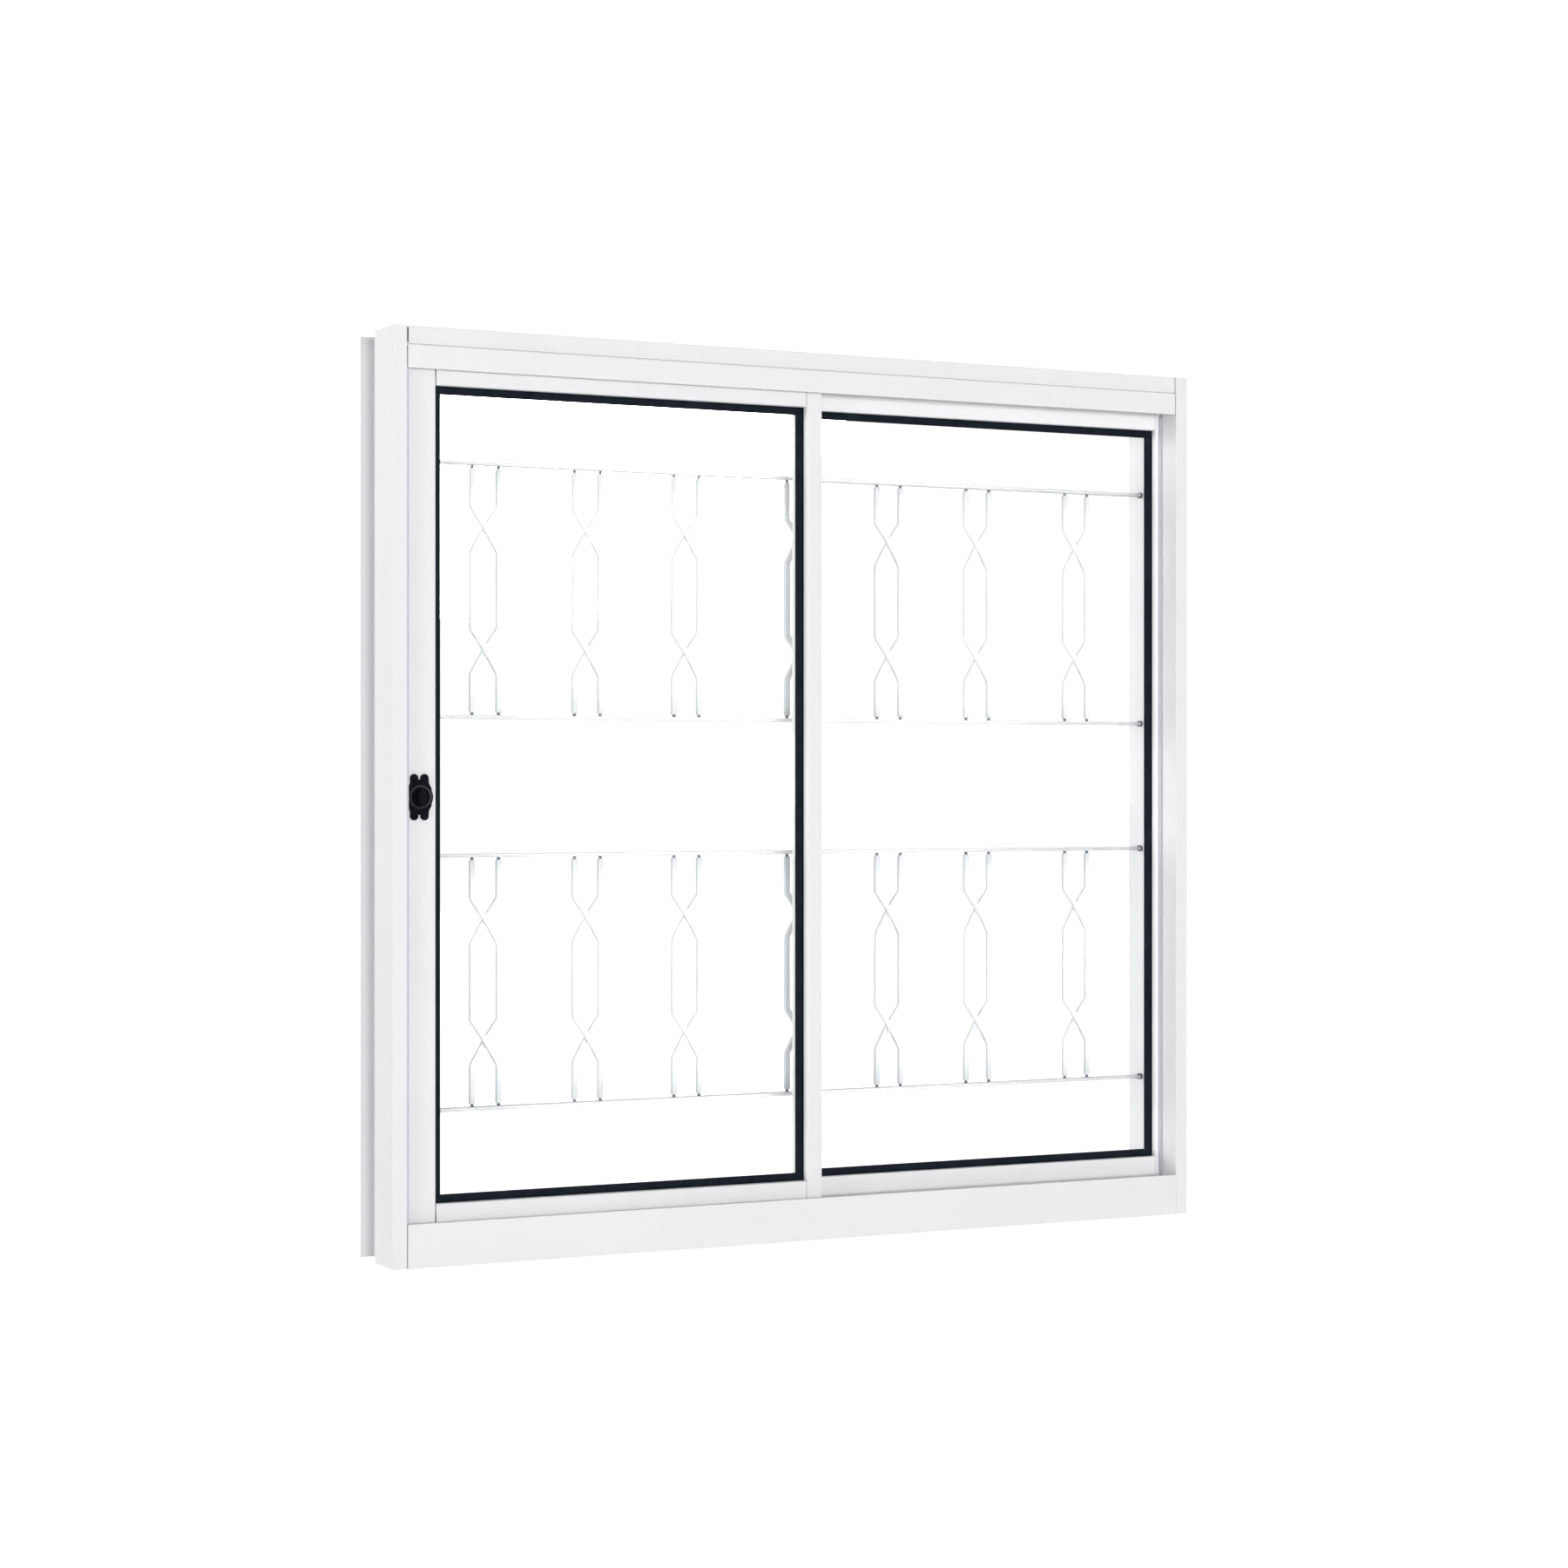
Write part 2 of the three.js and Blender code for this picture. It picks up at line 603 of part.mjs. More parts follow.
// ---------------------------------------------------------------- latch
// A plate outline: a disc with two rounded lobes above it and two below.
function latchPlate() {
  const front = FRONT_SASH - FIT - LATCH_PLATE;
  const back = FRONT_SASH - FIT;
  let plate = solid(barrel(LATCH_X, LATCH_Z, LATCH_R, front, back, 40));
  [-1, 1].forEach((up) => {
    [-1, 1].forEach((side) => {
      const s = LATCH_X + side * LOBE_R;
      const z = LATCH_Z + up * LOBE_Z;
      const neck = box([s - LOBE_R, front, Math.min(z, LATCH_Z)], [s + LOBE_R, back, Math.max(z, LATCH_Z)]);
      plate = plate.add(solid(barrel(s, z, LOBE_R, front, back, 20))).add(solid(neck));
    });
  });
  // A raised collar guides the knob, and a screw passes through one lobe above and one below.
  const collar = barrel(LATCH_X, LATCH_Z, 12.4, front - 2.2, front + 0.1, 40);
  const well = barrel(LATCH_X, LATCH_Z, 10.8, front - 3, front, 40);
  const spindle = barrel(LATCH_X, LATCH_Z, SPINDLE_R + FIT, front - 1, back + 1);
  plate = plate.add(solid(collar)).subtract(solid(well)).subtract(solid(spindle));
  screwPlaces().forEach(([s, z]) => {
    plate = plate.subtract(solid(barrel(s, z, SCREW_R + FIT, front - 1, back + 1, 16)));
  });
  return plate;
}

const screwPlaces = () => [[LATCH_X - LOBE_R, LATCH_Z + LOBE_Z], [LATCH_X + LOBE_R, LATCH_Z - LOBE_Z]];

// Thumb knob with an upright oval grip, and the spindle that passes through the stile's front wall.
function latchKnob() {
  const plateFront = FRONT_SASH - FIT - LATCH_PLATE;
  const low = plateFront - FIT;
  const high = plateFront - 8;
  const disc = barrel(LATCH_X, LATCH_Z, 10.4, plateFront - 2.4, low, 40);
  const deep = plateFront - 2.2 - high;
  const grip = new THREE.CylinderGeometry(1, 1, deep, 40)
    .scale(GRIP_HALF[0], 1, GRIP_HALF[1])
    .translate(xOf(LATCH_X), yOf(high + deep / 2), LATCH_Z);
  const spindle = barrel(LATCH_X, LATCH_Z, SPINDLE_R, low - 1, CRANK_D - FIT, 20);
  return solid(disc).add(solid(grip)).add(solid(spindle));
}

// The crank sits in the stile's chamber. Its pin drives the bolt; at rest it stands up and to the
// right of the spindle, and a quarter turn carries it up and to the left.
function latchCrank() {
  const back = CRANK_D + CRANK_T;
  const disc = barrel(LATCH_X, LATCH_Z, 7, CRANK_D, back, 28);
  const at = CRANK_R * Math.SQRT1_2;
  const pin = barrel(LATCH_X + at, LATCH_Z + at, PIN_R, back - 0.5, BOLT_D + BOLT_T + 1.4, 16);
  return solid(disc).add(solid(pin));
}

// A flat bolt with an upright slot for the crank pin. At rest its tip lies inside the stile.
function latchBolt() {
  const at = LATCH_X + CRANK_R * Math.SQRT1_2;
  const slotHalf = PIN_R + 0.4;
  const tip = FRONT_EDGES[0] + 0.2;
  const back = BOLT_D + BOLT_T;
  const bar = box([tip, BOLT_D, LATCH_Z - BOLT_H / 2], [at + 5, back, LATCH_Z + BOLT_H / 2]);
  const head = box([at - 5, BOLT_D, LATCH_Z - BOLT_H / 2], [at + 5, back, LATCH_Z + 9]);
  const slot = box([at - slotHalf, BOLT_D - 1, LATCH_Z + 1.6], [at + slotHalf, back + 1, LATCH_Z + 7.2]);
  return solid(bar).add(solid(head)).subtract(solid(slot));
}

// Pan-head screw through the plate and the stile's front wall, into the chamber.
function latchScrew(s, z) {
  const front = FRONT_SASH - FIT - LATCH_PLATE;
  const head = barrel(s, z, 3.2, front - FIT - 1.4, front - FIT, 20);
  const shank = barrel(s, z, SCREW_R, front - FIT - 0.5, FRONT_SASH + WALL + 1.5, 12);
  return solid(head).add(solid(shank));
}

function buildLatch() {
  put(frontSash, "latch_plate", shell(latchPlate()), BLACK);
  put(frontSash, "latch_knob", shell(latchKnob()), BLACK);
  put(frontSash, "latch_crank", shell(latchCrank()), STEEL);
  put(frontSash, "latch_bolt", shell(latchBolt()), STEEL);
  screwPlaces().forEach(([s, z], i) => {
    put(frontSash, `latch_screw_${i === 0 ? "top" : "bottom"}`, shell(latchScrew(s, z)), BLACK);
  });
}

buildFrontFrame();
buildKeeper();
buildGrilleFrame();
buildGrilleRails();
buildGrilleBars();
buildFrontSash();
buildRearSash();
buildLatch();

export default group;
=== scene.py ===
"""The finished look of a sliding window with a security grille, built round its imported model.

Metres, in the model's frame: +X to the right seen from the room, +Y out to the street, +Z up.
"""

import math

import bmesh
import bpy
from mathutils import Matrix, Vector


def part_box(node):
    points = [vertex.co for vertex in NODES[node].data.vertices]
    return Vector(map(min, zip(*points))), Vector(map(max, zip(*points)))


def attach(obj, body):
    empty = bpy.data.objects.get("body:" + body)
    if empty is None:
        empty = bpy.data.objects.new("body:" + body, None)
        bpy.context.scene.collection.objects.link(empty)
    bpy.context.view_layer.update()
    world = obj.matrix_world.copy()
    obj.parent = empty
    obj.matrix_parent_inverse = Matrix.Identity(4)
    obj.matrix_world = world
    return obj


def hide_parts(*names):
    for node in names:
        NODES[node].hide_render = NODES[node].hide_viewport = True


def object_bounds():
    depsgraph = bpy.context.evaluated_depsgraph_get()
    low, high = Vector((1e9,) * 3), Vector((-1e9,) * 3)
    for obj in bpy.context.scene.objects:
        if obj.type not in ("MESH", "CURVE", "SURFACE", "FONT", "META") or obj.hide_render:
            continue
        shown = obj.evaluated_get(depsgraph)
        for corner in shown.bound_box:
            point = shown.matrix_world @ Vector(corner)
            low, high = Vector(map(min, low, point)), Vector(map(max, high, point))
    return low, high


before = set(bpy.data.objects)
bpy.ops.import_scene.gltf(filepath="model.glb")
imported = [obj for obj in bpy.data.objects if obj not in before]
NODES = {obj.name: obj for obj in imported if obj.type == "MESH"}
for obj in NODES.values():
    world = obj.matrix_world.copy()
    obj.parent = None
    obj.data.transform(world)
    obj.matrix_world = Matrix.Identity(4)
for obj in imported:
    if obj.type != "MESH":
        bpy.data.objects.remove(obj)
CAD_BOUNDS = [list(corner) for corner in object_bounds()]
MM = 0.001

# ---------------------------------------------------------------- driving sizes of the finer pieces
BAR = 6 * MM  # square grille bar
BAR_ROUND = 0.9 * MM
CROSS_JOG = 2.9 * MM  # how far a bar leaves the grille's plane at a crossing
CROSS_HALF = 6 * MM  # half height of the crossing itself
BEND_HALF = 25 * MM  # from a crossing's centre to the bends above and below it
BEND_ROUND = 2.2 * MM
CROSSINGS = (0.25, 0.75)  # as shares of a panel's height
TENON_R = 1.9 * MM
TENON_LONG = 3 * MM
TENON_INSIDE = 2 * MM  # how far a tenon starts inside its bar
RAIL_ROUND = 1.2 * MM
BUSH_R = 3.4 * MM
BUSH_LONG = 4.4 * MM
BUSH_RIM = 0.5 * MM

PLATE_R = 15.3 * MM
PLATE_EDGE = 1.4 * MM
LOBE_R = 4.6 * MM
LOBE_OUT = 5.8 * MM
LOBE_UP = 20.1 * MM
NECK_HALF = ((10.2, 18.9), (10.4, 14.6), (13.9, 8))  # half width and height in mm, from the ears inwards
NECK_BEHIND = 0.4 * MM  # how far the neck's front stays behind the plate's
PLATE_THICK = 2.6 * MM
RING_OUTER_R = 13.3 * MM
RING_PEAK_R = 11.4 * MM
RING_INNER_R = 10.1 * MM
RING_SUNK = 0.3 * MM
RING_SHOULDER = 0.5 * MM  # outwards from the peak, and how far it drops there
RING_SHOULDER_DROP = 0.35 * MM
RING_CHAMFER = 0.3 * MM  # at the inner edge, and how far it drops there
RING_CHAMFER_DROP = 0.4 * MM
KNOB_R = 9.9 * MM
KNOB_SUNK = 0.3 * MM
KNOB_DISH = ((0, -0.4), (-0.4, 0), (-1.6, -0.7), (-3.4, -1.3))  # mm from the knob's radius and rim
KNOB_DISH_DEEP = 1.4 * MM
GRIP_HALF_WIDE = 3.8 * MM
GRIP_HALF_TALL = 9.5 * MM
GRIP_SECTIONS = ((1, 0.2), (1, 0.62), (0.94, 0.82), (0.8, 0.93), (0.55, 1))  # shares of width and depth
SPINDLE_R = 3.2 * MM
SPINDLE_INSIDE = 1 * MM  # how far the spindle starts inside the knob

SCREW_HEAD = 1.4 * MM
SCREW_HEAD_ROUND = 0.9 * MM
SCREW_SHANK_R = 1.5 * MM
SCREW_TIP_R = 0.9 * MM
SCREW_TIP_LONG = 1 * MM
SCREW_TAPER_LONG = 2 * MM
RECESS_LONG = 3.6 * MM
RECESS_WIDE = 0.9 * MM
RECESS_DEEP = 0.9 * MM
RECESS_ROUND = 0.2 * MM

LAMP_AWAY = 9
LAMPS = (  # name, degrees to the right of straight in front, height, width, strength
    ("lamp_front", 8, 0.8, 1.5, 0.29),
    ("lamp_front_left", -12, 0.8, 1.5, 0.225),
    ("lamp_left", -66, 0.9, 2.0, 0.13),
    ("lamp_left_edge", -105, 0.9, 2.5, 0.38),
    ("lamp_right_edge", 100, 0.9, 2.5, 0.4),
    ("lamp_back", 160, 2.6, 3.0, 0.42),
)
ROOM_FILL = 0.28
BACKDROP = 1.12
FLOOR_GLOW = 0.12
FLOOR_WHITER = 0.75  # extra glow for rays that have met nothing matt or glossy before the floor
FLOOR_HALF = 60
FLOOR_DROP = 0.2 * MM
OBJECT_MIDDLE = Vector((0, 0, 0.5))
CAMERA_AT = (-1.616, -3.230, 0.514)
CAMERA_LOOKS = Vector((0.4446, 0.8957, 0))  # direction
CAMERA_LENS = 72.64  # mm, on a sensor 36 mm wide
CAMERA_SENSOR = 36
CAMERA_REACH = 200

# Pile strips: seals, set where a jamb meets a sash so that their grey also paints the shadow line there.
PILE_OUT = 2.6 * MM
PILE_SUNK = 0.1 * MM
PILE_FRONT_FROM = 7.6 * MM  # ahead of the front sash
PILE_FRONT_TO = 0.5 * MM
PILE_REAR_FROM = 4.6 * MM  # ahead of the rear sash
PILE_REAR_TO = 0.4 * MM

WHEEL_BORE_R = 2.1 * MM
WHEEL_BORE_EDGE = 0.2 * MM
WHEEL_HUB_R = 3.6 * MM
WHEEL_RIM_R = 6.6 * MM
WHEEL_DISH = 0.5 * MM
WHEEL_SLOPE = 0.4 * MM  # across the sloping sides of the dish
WHEEL_RUN_R = 7 * MM
WHEEL_RUN_HALF = 1.4 * MM
WHEEL_R = 9 * MM
WHEEL_ROUND = 0.5 * MM
WHEEL_FLANGE = 1.1 * MM

GASKET_SHOWS = 8.4 * MM
PROFILE_EASE = 0.3 * MM
ROLLER_EASE = 0.25 * MM
LATCH_EASE = 0.2 * MM
NOISE_LOW = 0.3  # the stretch of the noise that a material spreads over its range
NOISE_HIGH = 0.7


# ---------------------------------------------------------------- materials
def shader_of(name):
    """A new material with its node tree and its Principled shader."""
    made = bpy.data.materials.new(name)
    made.use_nodes = True
    tree = made.node_tree
    shader = next(n for n in tree.nodes if n.type == "BSDF_PRINCIPLED")
    return made, tree, shader


def noise(tree, scale, detail=2.0, stretch=(1, 1, 1)):
    """A noise texture in the piece's own coordinates; scale is in features per metre."""
    place = tree.nodes.new("ShaderNodeTexCoord")
    mapping = tree.nodes.new("ShaderNodeMapping")
    mapping.inputs["Scale"].default_value = stretch
    texture = tree.nodes.new("ShaderNodeTexNoise")
    texture.inputs["Scale"].default_value = scale
    texture.inputs["Detail"].default_value = detail
    tree.links.new(place.outputs["Object"], mapping.inputs["Vector"])
    tree.links.new(mapping.outputs["Vector"], texture.inputs["Vector"])
    return texture.outputs["Fac"]


def vary_colour(tree, shader, fac, low, high):
    """Base colour between low and high by the noise."""
    ramp = tree.nodes.new("ShaderNodeValToRGB")
    ramp.color_ramp.elements[0].position = NOISE_LOW
    ramp.color_ramp.elements[0].color = (*low, 1)
    ramp.color_ramp.elements[1].position = NOISE_HIGH
    ramp.color_ramp.elements[1].color = (*high, 1)
    tree.links.new(fac, ramp.inputs["Fac"])
    tree.links.new(ramp.outputs["Color"], shader.inputs["Base Color"])


def vary_roughness(tree, shader, fac, low, high):
    """Roughness between low and high by the noise."""
    spread = tree.nodes.new("ShaderNodeMapRange")
    spread.inputs["From Min"].default_value = NOISE_LOW
    spread.inputs["From Max"].default_value = NOISE_HIGH
    spread.inputs["To Min"].default_value = low
    spread.inputs["To Max"].default_value = high
    tree.links.new(fac, spread.inputs["Value"])
    tree.links.new(spread.outputs["Result"], shader.inputs["Roughness"])


def raise_grain(tree, shader, fac, height, strength):
    """A bump in the surface by the noise."""
    bump = tree.nodes.new("ShaderNodeBump")
    bump.inputs["Strength"].default_value = strength
    bump.inputs["Distance"].default_value = height
    tree.links.new(fac, bump.inputs["Height"])
    tree.links.new(bump.outputs["Normal"], shader.inputs["Normal"])


def powder_coat(name, low, high):
    """Satin polyester powder: an even white with faint clouding and a fine orange-peel grain."""
    made, tree, shader = shader_of(name)
    vary_colour(tree, shader, noise(tree, 9), low, high)
    vary_roughness(tree, shader, noise(tree, 40), 0.44, 0.52)
    raise_grain(tree, shader, noise(tree, 900, 1.0), 0.02 * MM, 0.35)
    shader.inputs["IOR"].default_value = 1.5
    return made


def rubber():
    """Black EPDM with a soft bloom and a fine extruded grain."""
    made, tree, shader = shader_of("epdm_rubber")
    vary_colour(tree, shader, noise(tree, 60), (0.004, 0.006, 0.011), (0.009, 0.012, 0.019))
    vary_roughness(tree, shader, noise(tree, 300), 0.46, 0.60)
    shader.inputs["Specular IOR Level"].default_value = 0.12
    raise_grain(tree, shader, noise(tree, 2500), 0.03 * MM, 0.5)
    return made


def pile_wool_and_painted_shade():
    """Grey brushed polypropylene pile, with its grain drawn out along the strip. Its grey is also painted
    shade: it stands for the shadow line along a joint.
    """
    made, tree, shader = shader_of("grey_pile_and_painted_shade")
    upright = (1, 1, 0.2)
    strands = noise(tree, 1400, 2.0, upright)
    vary_colour(tree, shader, strands, (0.50, 0.51, 0.55), (0.62, 0.63, 0.67))
    vary_roughness(tree, shader, noise(tree, 900), 0.85, 0.95)
    raise_grain(tree, shader, noise(tree, 2600, 2.0, upright), 0.12 * MM, 0.8)
    shader.inputs["Sheen Weight"].default_value = 0.15
    return made


def black_nylon(name, specular, rough):
    """Moulded black nylon with a fine spark texture."""
    made, tree, shader = shader_of(name)
    vary_colour(tree, shader, noise(tree, 200), (0.003, 0.004, 0.006), (0.006, 0.007, 0.010))
    spread = 0.04
    vary_roughness(tree, shader, noise(tree, 800), rough - spread, rough + spread)
    raise_grain(tree, shader, noise(tree, 3500), 0.02 * MM, 0.4)
    shader.inputs["Specular IOR Level"].default_value = specular
    return made


def bare_metal(name, low, high, rough, stretch=(1, 1, 1)):
    """Plated, blackened or dark grey metal. Its grain can be finer or longer along one axis."""
    made, tree, shader = shader_of(name)
    shader.inputs["Metallic"].default_value = 1.0
    vary_colour(tree, shader, noise(tree, 120), low, high)
    spread = 0.07
    vary_roughness(tree, shader, noise(tree, 700, 3.0, stretch), rough - spread, rough + spread)
    raise_grain(tree, shader, noise(tree, 1800, 2.0, stretch), 0.01 * MM, 0.5)
    return made


def natural_nylon():
    """Off-white nylon of the roller wheels, faintly translucent."""
    made, tree, shader = shader_of("natural_nylon")
    vary_colour(tree, shader, noise(tree, 150), (0.70, 0.68, 0.61), (0.78, 0.77, 0.71))
    vary_roughness(tree, shader, noise(tree, 500), 0.36, 0.48)
    shader.inputs["Subsurface Weight"].default_value = 0.2
    shader.inputs["Subsurface Scale"].default_value = 1.5 * MM
    return made


def clear_glass():
    """Clear float glass. A shadow ray passes straight through, so lamps reach what is behind it."""
    made, tree, shader = shader_of("clear_glass")
    shader.inputs["Base Color"].default_value = (0.990, 0.994, 0.993, 1)
    shader.inputs["Roughness"].default_value = 0.0
    shader.inputs["IOR"].default_value = 1.5
    shader.inputs["Transmission Weight"].default_value = 1.0
    clear = tree.nodes.new("ShaderNodeBsdfTransparent")
    clear.inputs["Color"].default_value = (0.975, 0.982, 0.981, 1)
    path = tree.nodes.new("ShaderNodeLightPath")
    mix = tree.nodes.new("ShaderNodeMixShader")
    output = next(n for n in tree.nodes if n.type == "OUTPUT_MATERIAL")
    tree.links.new(path.outputs["Is Shadow Ray"], mix.inputs["Fac"])
    tree.links.new(shader.outputs["BSDF"], mix.inputs[1])
    tree.links.new(clear.outputs["BSDF"], mix.inputs[2])
    tree.links.new(mix.outputs["Shader"], output.inputs["Surface"])
    return made


# Three shades of the white coat, set for this studio's light: the grille's is a darker copy,
# painted shade so it stands out from the white backdrop; the rear sash's is a lighter copy, painted
# light for its recess, which is lit less.
COAT = powder_coat("powder_coat", (0.835, 0.84, 0.85), (0.85, 0.855, 0.862))
GRILLE_COAT_PAINTED_SHADE = powder_coat("grille_coat_painted_shade", (0.63, 0.64, 0.655), (0.68, 0.69, 0.705))
REAR_COAT_PAINTED_LIGHT = powder_coat("rear_sash_coat_painted_light", (0.89, 0.895, 0.905), (0.905, 0.91, 0.917))
RUBBER = rubber()
# Pile grey, which also stands in as painted shade along two joints.
PILE_PAINTED_SHADE = pile_wool_and_painted_shade()
BLACK = black_nylon("moulded_black_nylon", specular=0.05, rough=0.3)
POLISHED_BLACK = black_nylon("polished_black_nylon", specular=0.55, rough=0.42)
ZINC = bare_metal("zinc_plated_steel", (0.56, 0.57, 0.60), (0.66, 0.67, 0.69), 0.34, (1, 1, 8))
BLACK_STEEL = bare_metal("blackened_steel", (0.008, 0.009, 0.012), (0.02, 0.022, 0.026), 0.5)
# Dark grey tenons, darker than the bars: a dark dot at each end of a bar.
DARK_TENON_METAL = bare_metal("dark_grey_tenon_metal", (0.20, 0.20, 0.22), (0.28, 0.28, 0.30), 0.45)
NYLON = natural_nylon()
GLASS = clear_glass()


# ---------------------------------------------------------------- CAD nodes that keep their shape
def finish_node(name, material, edge=0.0):
    """A CAD node with its finish. Its sharp edges are eased by a small round of width edge."""
    piece = NODES[name]
    mesh = piece.data
    for layer in ("custom_normal", "sharp_edge", "sharp_face"):
        if layer in mesh.attributes:
            mesh.attributes.remove(mesh.attributes[layer])
    mesh.shade_smooth()
    mesh.materials.clear()
    mesh.materials.append(material)
    weld = piece.modifiers.new("weld", "WELD")
    weld.merge_threshold = 0.001 * MM
    flatten = piece.modifiers.new("flatten", "DECIMATE")
    flatten.decimate_type = "DISSOLVE"
    flatten.angle_limit = math.radians(0.4)
    if edge:
        ease = piece.modifiers.new("ease", "BEVEL")
        ease.width = edge
        ease.segments = 2
        ease.limit_method = "ANGLE"
        ease.angle_limit = math.radians(50)
        ease.use_clamp_overlap = True
    normals = piece.modifiers.new("normals", "WEIGHTED_NORMAL")
    normals.keep_sharp = True


def finish_sash(sash, stiles, coat):
    """A sash's extrusions, glass and roller fittings."""
    for stile in stiles:
        finish_node(f"{sash}_sash_{stile}_stile", coat, PROFILE_EASE)
    for rail in ("bottom", "top"):
        finish_node(f"{sash}_sash_{rail}_rail", coat, PROFILE_EASE)
    finish_node(f"{sash}_sash_glass", GLASS)
    for side in ("left", "right"):
        finish_node(f"{sash}_sash_roller_{side}_cage", ZINC, ROLLER_EASE)
        finish_node(f"{sash}_sash_roller_{side}_axle", ZINC, ROLLER_EASE)


def finish_cad_nodes():
    """Every node whose CAD shape is kept: frames, sashes, and the latch's hidden steel pieces."""
    for name in ("jamb_left", "jamb_right", "head_profile", "sill_profile"):
        finish_node(name, COAT, PROFILE_EASE)
    for place in ("jamb_left", "jamb_right", "head", "sill"):
        finish_node(f"grille_frame_{place}", COAT, PROFILE_EASE)
    finish_sash("front", ("latch", "meeting"), COAT)
    # The rear sash's coat is a lighter copy of the white: painted light for its recess.
    finish_sash("rear", ("meeting", "outer"), REAR_COAT_PAINTED_LIGHT)
    for name in ("latch_keeper", "latch_crank", "latch_bolt"):
        finish_node(name, ZINC, LATCH_EASE)


# ---------------------------------------------------------------- mesh helpers
def add_piece(name, mesh, body, slot, materials, *replaced):
    """A new piece that rides on a body and stands for the CAD nodes it replaces."""
    for material in materials:
        mesh.materials.append(material)
    piece = bpy.data.objects.new(name, mesh)
    bpy.context.scene.collection.objects.link(piece)
    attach(piece, body)
    if replaced:
        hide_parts(*replaced)
    return piece


def mesh_from(name, bm, smooth=True):
    """A mesh from a bmesh, with its faces turned outwards. The bmesh is freed."""
    bmesh.ops.recalc_face_normals(bm, faces=bm.faces)
    mesh = bpy.data.meshes.new(name)
    bm.to_mesh(mesh)
    bm.free()
    if smooth:
        mesh.shade_smooth()
    return mesh


def ease_edges(piece, width, segments, angle):
    """Rounds the edges that are sharper than angle, in degrees."""
    ease = piece.modifiers.new("ease", "BEVEL")
    ease.width = width
    ease.segments = segments
    ease.limit_method = "ANGLE"
    ease.angle_limit = math.radians(angle)
    normals = piece.modifiers.new("normals", "WEIGHTED_NORMAL")
    normals.keep_sharp = True


def rounded_rectangle(width, depth, radius, steps=4):
    """Points of a rounded rectangle about (0, 0), anticlockwise."""
    points = []
    for quarter in range(4):
        sx = 1 if quarter in (0, 3) else -1
        sy = 1 if quarter in (0, 1) else -1
        centre = Vector((sx * (width / 2 - radius), sy * (depth / 2 - radius)))
        for step in range(steps + 1):
            angle = math.radians(90 * quarter + 90 * step / steps)
            points.append(centre + radius * Vector((math.cos(angle), math.sin(angle))))
    return points


def skin(bm, rings, closed=False):
    """Faces between rings of points. Unless it closes on itself, the skin gets an end cap at each end."""
    loops = [[bm.verts.new(point) for point in ring] for ring in rings]
    count = len(loops[0])
    pairs = list(zip(loops, loops[1:]))
    if closed:
        pairs.append((loops[-1], loops[0]))
    for low, high in pairs:
        for i in range(count):
            j = (i + 1) % count
            bm.faces.new((low[i], low[j], high[j], high[i]))
    if not closed:
        bm.faces.new(loops[0][::-1])
        bm.faces.new(loops[-1])


def lathe(bm, centre, axis, profile, sides):
    """Turns a closed profile of (radius, along) about an axis through centre."""
    turn = axis.to_track_quat("Z", "Y").to_matrix()
    rings = []
    for i in range(sides):
        angle = 2 * math.pi * i / sides
        out = turn @ Vector((math.cos(angle), math.sin(angle), 0))
        rings.append([centre + out * radius + axis * along for radius, along in profile])
    skin(bm, rings, closed=True)


def solid_of_revolution(bm, centre, axis, profile, sides, material=0):
    """Like lathe, for a profile that starts and ends on the axis."""
    turn = axis.to_track_quat("Z", "Y").to_matrix()
    first = bm.verts.new(centre + axis * profile[0][1])
    last = bm.verts.new(centre + axis * profile[-1][1])
    columns = []
    for i in range(sides):
        angle = 2 * math.pi * i / sides
        out = turn @ Vector((math.cos(angle), math.sin(angle), 0))
        columns.append([bm.verts.new(centre + out * r + axis * a) for r, a in profile[1:-1]])
    faces = []
    for i in range(sides):
        here = columns[i]
        there = columns[(i + 1) % sides]
        faces.append(bm.faces.new((first, there[0], here[0])))
        faces.append(bm.faces.new((last, here[-1], there[-1])))
        for k in range(len(here) - 1):
            faces.append(bm.faces.new((here[k], there[k], there[k + 1], here[k + 1])))
    for face in faces:
        face.material_index = material


def arc(centre, radius, start, end, steps):
    """Points on an arc in a plane, from angle start to end, in degrees."""
    angles = [math.radians(start + (end - start) * i / steps) for i in range(steps + 1)]
    return [(centre[0] + radius * math.cos(a), centre[1] + radius * math.sin(a)) for a in angles]


# ---------------------------------------------------------------- grille
def soften(points, radius, steps=4):
    """The path with each inner corner replaced by a short curve."""
    smooth = [points[0]]
    for before, corner, after in zip(points, points[1:], points[2:]):
        reach = min(radius, (before - corner).length / 2, (after - corner).length / 2)
        start = corner + (before - corner).normalized() * reach
        end = corner + (after - corner).normalized() * reach
        for i in range(steps + 1):
            t = i / steps
            smooth.append(start * (1 - t) ** 2 + corner * (2 * t * (1 - t)) + end * t**2)
    smooth.append(points[-1])
    return smooth


def bar_path(centre, side, gap, low, high, depth):
    """The corners of one bar of a pair. At a crossing one bar jogs to the room and the other away."""
    off = gap * side
    points = [Vector((centre + off, depth, low))]
    for i, share in enumerate(CROSSINGS):
        z = low + (high - low) * share
        way = 1 if i == 0 else -1
        near = off * way * CROSS_HALF / BEND_HALF
        jog = -CROSS_JOG * side * way
        points += [
            Vector((centre + off * way, depth, z - BEND_HALF)),
            Vector((centre + near, depth + jog, z - CROSS_HALF)),
            Vector((centre - near, depth + jog, z + CROSS_HALF)),
            Vector((centre - off * way, depth, z + BEND_HALF)),
        ]
    points.append(Vector((centre + off, depth, high)))
    return points


